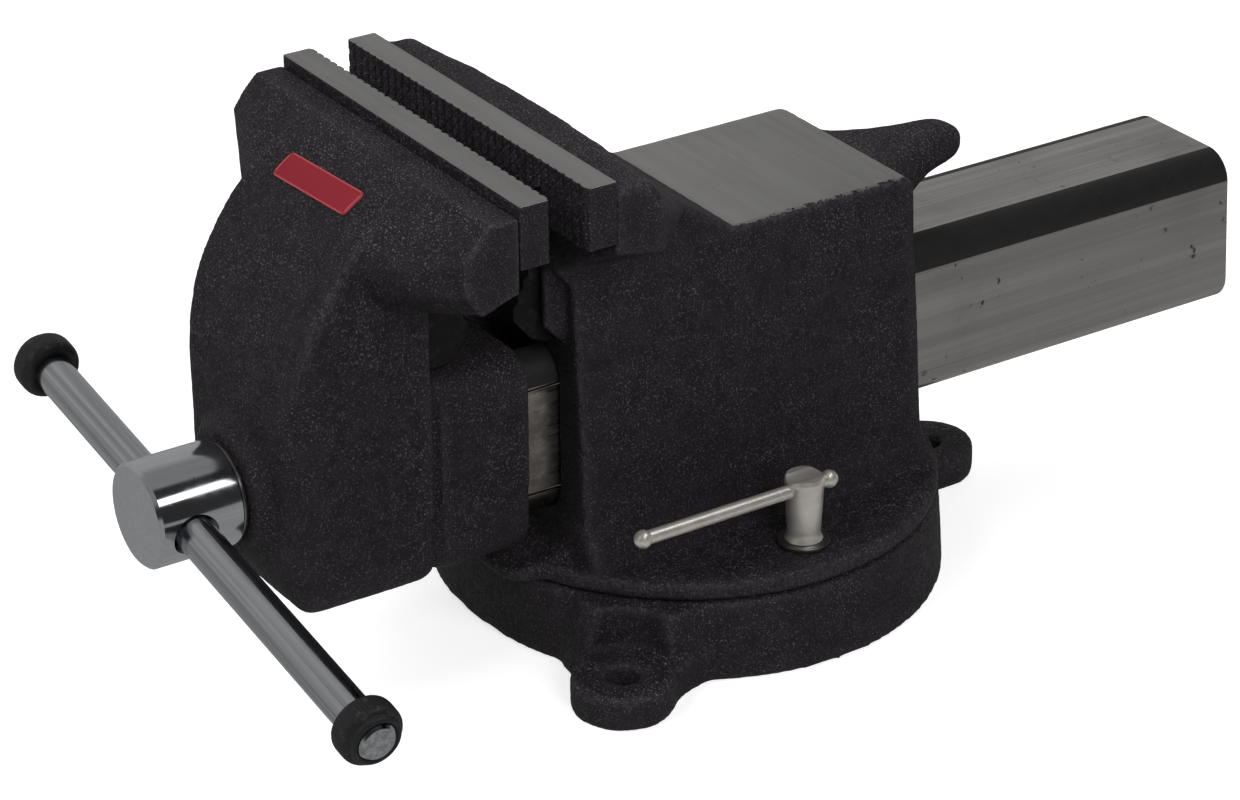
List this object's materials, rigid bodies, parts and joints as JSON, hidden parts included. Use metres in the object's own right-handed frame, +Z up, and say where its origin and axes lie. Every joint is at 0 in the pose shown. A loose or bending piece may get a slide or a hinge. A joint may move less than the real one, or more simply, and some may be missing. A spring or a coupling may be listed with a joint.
{
  "type": "bench vise",
  "caption": "Bench vise with swivel base, toothed jaws, pipe jaws, box-section slide bar, anvil and horn, closed by a screw with a sliding bar handle.",
  "frame": {"origin": "the swivel axis at the underside of the base, in the bench plane", "axes": "+Z up, the operator stands on the -Y side, +Y towards the rear end of the slide bar, +X to the operator's right, jaws run along X"},
  "size_m": [0.3066, 0.5843, 0.252],
  "materials": {
    "base_casting": "near-black sand-textured paint",
    "static_casting": "near-black sand-textured paint, anvil ground bright",
    "jaw_casting": "near-black sand-textured paint",
    "insert_steel": "ground, toothed",
    "pipe_jaw_steel": "blackened steel",
    "black_screws": "black oxide",
    "nut_iron": "machined cast iron",
    "pin_steel": "machined",
    "bolt_zinc": "zinc plated",
    "lock_nickel": "nickel plated",
    "bar_steel": "ground, fine scratches",
    "spindle_chrome": "bright plated",
    "rod_chrome": "bright plated",
    "cap_rubber": "black rubber",
    "label_red": "plain dark red, unprinted"
  },
  "bodies": {
    "base": {"swivel_base": "base_casting"},
    "static": {"static_body": "static_casting", "pivot_pin": "pin_steel", "rear_insert": "insert_steel", "rear_insert_screws": "black_screws", "rear_pipe_jaw": "pipe_jaw_steel", "rear_pipe_jaw_screws": "black_screws", "spindle_nut": "nut_iron", "nut_bolts": "black_screws", "lock_bolts": "bolt_zinc", "lock_washers": "lock_nickel"},
    "moving": {"moving_jaw": "jaw_casting", "slide_bar": "bar_steel", "bar_pins": "pin_steel", "front_insert": "insert_steel", "front_insert_screws": "black_screws", "front_pipe_jaw": "pipe_jaw_steel", "front_pipe_jaw_screws": "black_screws", "thrust_washer": "pin_steel", "label_plate": "label_red"},
    "screw": {"spindle": "spindle_chrome", "retaining_collar": "pin_steel", "collar_pin": "pin_steel"},
    "handle": {"handle_rod": "rod_chrome", "handle_cap_left": "cap_rubber", "handle_cap_right": "cap_rubber"},
    "right_nut": {"lock_nut_right": "lock_nickel"},
    "right_bar": {"lock_bar_right": "lock_nickel", "lock_balls_right": "lock_nickel"},
    "left_nut": {"lock_nut_left": "lock_nickel"},
    "left_bar": {"lock_bar_left": "lock_nickel", "lock_balls_left": "lock_nickel"}
  },
  "joints": [
    {"name": "swivel", "type": "hinge", "parent": "base", "child": "static", "pos_m": [0, 0, 0.037], "axis": [0, 0, 1], "continuous": true},
    {"name": "jaw_slide", "type": "slide", "parent": "static", "child": "moving", "axis": [0, -1, 0], "range_m": [-0.0176, 0.18]},
    {"name": "spindle_turn", "type": "hinge", "parent": "moving", "child": "screw", "pos_m": [0, -0.25, 0.1034], "axis": [0, 1, 0], "continuous": true},
    {"name": "handle_slide", "type": "slide", "parent": "screw", "child": "handle", "axis": [0.9875, 0, -0.1575], "range_m": [-0.138, 0.089]},
    {"name": "right_lock_turn", "type": "hinge", "parent": "static", "child": "right_nut", "pos_m": [0.095, 0, 0.06], "axis": [0, 0, 1], "range_deg": [-15, 195]},
    {"name": "right_bar_slide", "type": "slide", "parent": "right_nut", "child": "right_bar", "axis": [0, 1, 0], "range_m": [0, 0.0705]},
    {"name": "left_lock_turn", "type": "hinge", "parent": "static", "child": "left_nut", "pos_m": [-0.095, 0, 0.06], "axis": [0, 0, 1], "range_deg": [-195, 15]},
    {"name": "left_bar_slide", "type": "slide", "parent": "left_nut", "child": "left_bar", "axis": [0, 1, 0], "range_m": [0, 0.0705]}
  ],
  "couplings": [
    {"joint": "spindle_turn", "follows": "jaw_slide", "rad_per_m": -1047.2}
  ]
}
